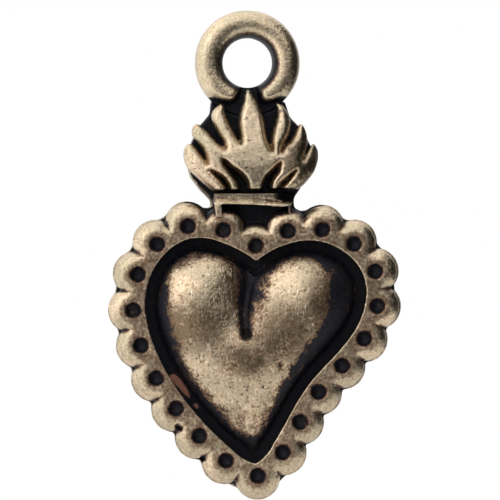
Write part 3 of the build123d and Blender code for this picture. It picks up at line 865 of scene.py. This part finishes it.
# Each finish: how ragged its worn edges are, how much it is specked and scratched, and its tones.
finishes = {
    "ringBrass": {
        "Mottle": 0.45, "Speck": 0.3, "Scratch": 0.2, "Brass": (0.64, 0.50, 0.345, 1),
        "Brass Shade": (0.49, 0.41, 0.275, 1), "Copper": (0.10, 0.062, 0.045, 1), "Patina": (0.006, 0.006, 0.010, 1)},
    "borderBrass": {
        "Mottle": 0.95, "Speck": 0.55, "Scratch": 0.25, "Brass": (0.58, 0.45, 0.31, 1),
        "Brass Shade": (0.43, 0.355, 0.24, 1), "Copper": (0.15, 0.085, 0.055, 1), "Patina": (0.007, 0.006, 0.009, 1)},
    "flameBrass": {
        "Mottle": 0.42, "Speck": 0.75, "Scratch": 0.25, "Brass": (0.62, 0.478, 0.338, 1),
        "Brass Shade": (0.43, 0.36, 0.245, 1), "Copper": (0.075, 0.052, 0.046, 1), "Patina": (0.006, 0.006, 0.009, 1)},
    "domeBrass": {
        "Mottle": 1.6, "Speck": 0.9, "Scratch": 0.7, "Brass": (0.60, 0.45, 0.305, 1),
        "Brass Shade": (0.42, 0.345, 0.235, 1), "Copper": (0.125, 0.072, 0.042, 1), "Patina": (0.009, 0.009, 0.013, 1)},
    "darkPlate": {
        "Mottle": 0.5, "Speck": 0.4, "Scratch": 0.1, "Brass": (0.36, 0.31, 0.23, 1),
        "Brass Shade": (0.22, 0.19, 0.15, 1), "Copper": (0.09, 0.06, 0.045, 1), "Patina": (0.005, 0.005, 0.008, 1)},
}


def brassFinish(name, group, values, look):
    material = bpy.data.materials.new(name)
    material.use_nodes = True
    tree = material.node_tree
    shader = tree.nodes["Principled BSDF"].inputs
    coordinates = putNode(tree, "ShaderNodeTexCoord", (-900, 0))
    metal = putNode(tree, "ShaderNodeGroup", (-600, 0), node_tree=group)
    for socket, value in {**values, "Stain Tone": look["stainAndShadeTone"], "Chip Tone": look["chipTone"]}.items():
        metal.inputs[socket].default_value = value
    feed(tree, metal.inputs["Place"], coordinates.outputs["Object"])
    for row, socket in enumerate(("Wear_And_Light", "Stain_And_Shade", "Chipped")):
        mask = putNode(tree, "ShaderNodeAttribute", (-900, -250 - 200 * row), attribute_name=socket.lower())
        feed(tree, metal.inputs[socket], mask.outputs["Fac"])
    bump = putNode(tree, "ShaderNodeBump", (-250, -300))
    feed(tree, bump.inputs["Strength"], look["bumpStrength"])
    feed(tree, bump.inputs["Distance"], look["grainDepth"])
    feed(tree, bump.inputs["Height"], metal.outputs["Height"])
    feed(tree, shader["Specular IOR Level"], look["specular"])
    feed(tree, shader["Base Color"], metal.outputs["Colour"])
    feed(tree, shader["Metallic"], metal.outputs["Metallic"])
    feed(tree, shader["Roughness"], metal.outputs["Roughness"])
    feed(tree, shader["Normal"], bump.outputs["Normal"])
    return material


brassGroup = antiqueBrassGroup(brassLook)
materials = {name: brassFinish(name, brassGroup, values, brassLook) for name, values in finishes.items()}

for node, piece in pieces.items():
    piece.data.transform(Matrix.Scale(1 / toMillimetres, 4))
    for face in piece.data.polygons:
        face.use_smooth = True
    piece.data.materials.clear()
    piece.data.materials.append(materials[members[node][-1]])
    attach(piece, "root")
    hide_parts(node)
print("finished in brass")

# The camera looks square at the front from a little to the left, and the floor lies below the tip.
studio = {
    "aim": Vector((-0.000068, 0.0, -0.008438)), "field": 0.02256, "lens": 200.0, "clip": (0.005, 5.0),
    "roll": math.radians(1.32), "swing": math.radians(-2.5),
    "floorDrop": 0.004, "floorSize": 0.036, "floorSides": 96, "floorTone": (0.86, 0.86, 0.86, 1), "floorRoughness": 0.9,
    # each lamp's place, width and power
    "lampAim": Vector((0, 0, -0.009)),
    "lamps": {"keyLamp": ((-0.11, -0.075, 0.07), 0.06, 0.02), "fillLamp": ((0.0, -0.14, -0.06), 0.09, 0.001)},
}


def setCamera(look):
    data = bpy.data.cameras.new("camera")
    data.lens = look["lens"]
    data.clip_start, data.clip_end = look["clip"]
    camera = bpy.data.objects.new("camera", data)
    scene.collection.objects.link(camera)
    back = Vector((math.sin(look["swing"]), -math.cos(look["swing"]), 0))
    upright = back.to_track_quat("Z", "Y").to_matrix().to_4x4()
    distance = look["field"] * look["lens"] / data.sensor_width
    spot = Matrix.Translation(look["aim"] + back * distance)
    camera.matrix_world = spot @ upright @ Matrix.Rotation(-look["roll"], 4, "Z")
    scene.camera = camera


def setLamps(look):
    for name, (place, width, power) in look["lamps"].items():
        data = bpy.data.lights.new(name, "AREA")
        data.shape = "DISK"
        data.size = width
        data.energy = power
        lamp = bpy.data.objects.new(name, data)
        lamp.location = place
        lamp.rotation_euler = (look["lampAim"] - lamp.location).to_track_quat("-Z", "Y").to_euler()
        scene.collection.objects.link(lamp)


# The room that the metal sees, as steps of brightness: from the dark right (0) over the camera (0.5) to the
# soft light on the left (1), and from below (0) over the camera (0.5) to the soft light above (1).
roomLook = {
    "acrossSteps": [(0.0, 0.01), (0.30, 0.012), (0.48, 0.025), (0.56, 0.06), (0.66, 0.40), (0.78, 0.95), (1.0, 0.95)],
    "upSteps": [(0.0, 0.02), (0.25, 0.03), (0.50, 0.02), (0.57, 0.09), (0.66, 0.65), (0.75, 1.0), (1.0, 1.0)],
    "topFade": (0.30, 0.75, 1.0, 0.0), "rim": (0.62, 0.95), "strength": 1.75, "white": (1, 1, 1, 1),
}


def roomRamp(tree, value, spot, steps):
    ramp = putNode(tree, "ShaderNodeValToRGB", spot)
    elements = ramp.color_ramp.elements
    for number, (position, grey) in enumerate(steps):
        step = elements[number] if number < 2 else elements.new(position)
        step.position = position
        step.color = (grey, grey, grey, 1)
    tree.links.new(value, ramp.inputs["Fac"])
    return ramp.outputs["Color"]


def setWorld(look):
    world = bpy.data.worlds.new("studioWorld")
    scene.world = world
    world.use_nodes = True
    tree = world.node_tree
    background = tree.nodes["Background"].inputs
    direction = putNode(tree, "ShaderNodeTexCoord", (-1500, 0))
    split = putNode(tree, "ShaderNodeSeparateXYZ", (-1300, 0))
    tree.links.new(direction.outputs["Generated"], split.inputs[0])
    toLeft = rangeNode(tree, split.outputs["X"], (-1100, 200), 1.0, -1.0, kind="LINEAR")
    toTop = rangeNode(tree, split.outputs["Z"], (-1100, -50), -1.0, 1.0, kind="LINEAR")
    across = roomRamp(tree, toLeft, (-900, 250), look["acrossSteps"])
    upward = roomRamp(tree, toTop, (-900, 0), look["upSteps"])
    leftOnly = rangeNode(tree, split.outputs["X"], (-900, -250), *look["topFade"])
    upward = mathNode(tree, "MULTIPLY", (-740, -50), upward, leftOnly)
    front = mathNode(tree, "MAXIMUM", (-580, 100), across, upward)
    front = mathNode(tree, "MULTIPLY", (-400, 100), front, look["strength"])
    behind = rangeNode(tree, split.outputs["Y"], (-600, -200), *look["rim"])
    room = mixColour(tree, behind, (-300, 0), front, look["white"])
    rays = putNode(tree, "ShaderNodeLightPath", (-600, -400)).outputs
    plain = mathNode(tree, "MAXIMUM", (-300, -300), rays["Is Camera Ray"], rays["Is Transmission Ray"])
    feed(tree, background["Color"], mixColour(tree, plain, (-100, 0), room, look["white"]))
    feed(tree, background["Strength"], 1.0)


def setFloor(look):
    shape = bmesh.new()
    bmesh.ops.create_circle(shape, cap_ends=True, segments=look["floorSides"], radius=look["floorSize"])
    bmesh.ops.translate(shape, vec=(0, 0, solidLow.z - look["floorDrop"]), verts=shape.verts)
    floor = addPiece("studioFloor", shape)
    material = bpy.data.materials.new("paleFloor")
    material.use_nodes = True
    shader = material.node_tree.nodes["Principled BSDF"]
    shader.inputs["Base Color"].default_value = look["floorTone"]
    shader.inputs["Roughness"].default_value = look["floorRoughness"]
    floor.data.materials.append(material)


setCamera(studio)
setLamps(studio)
setWorld(roomLook)
setFloor(studio)
scene.view_settings.view_transform = "Standard"
print("studio set")
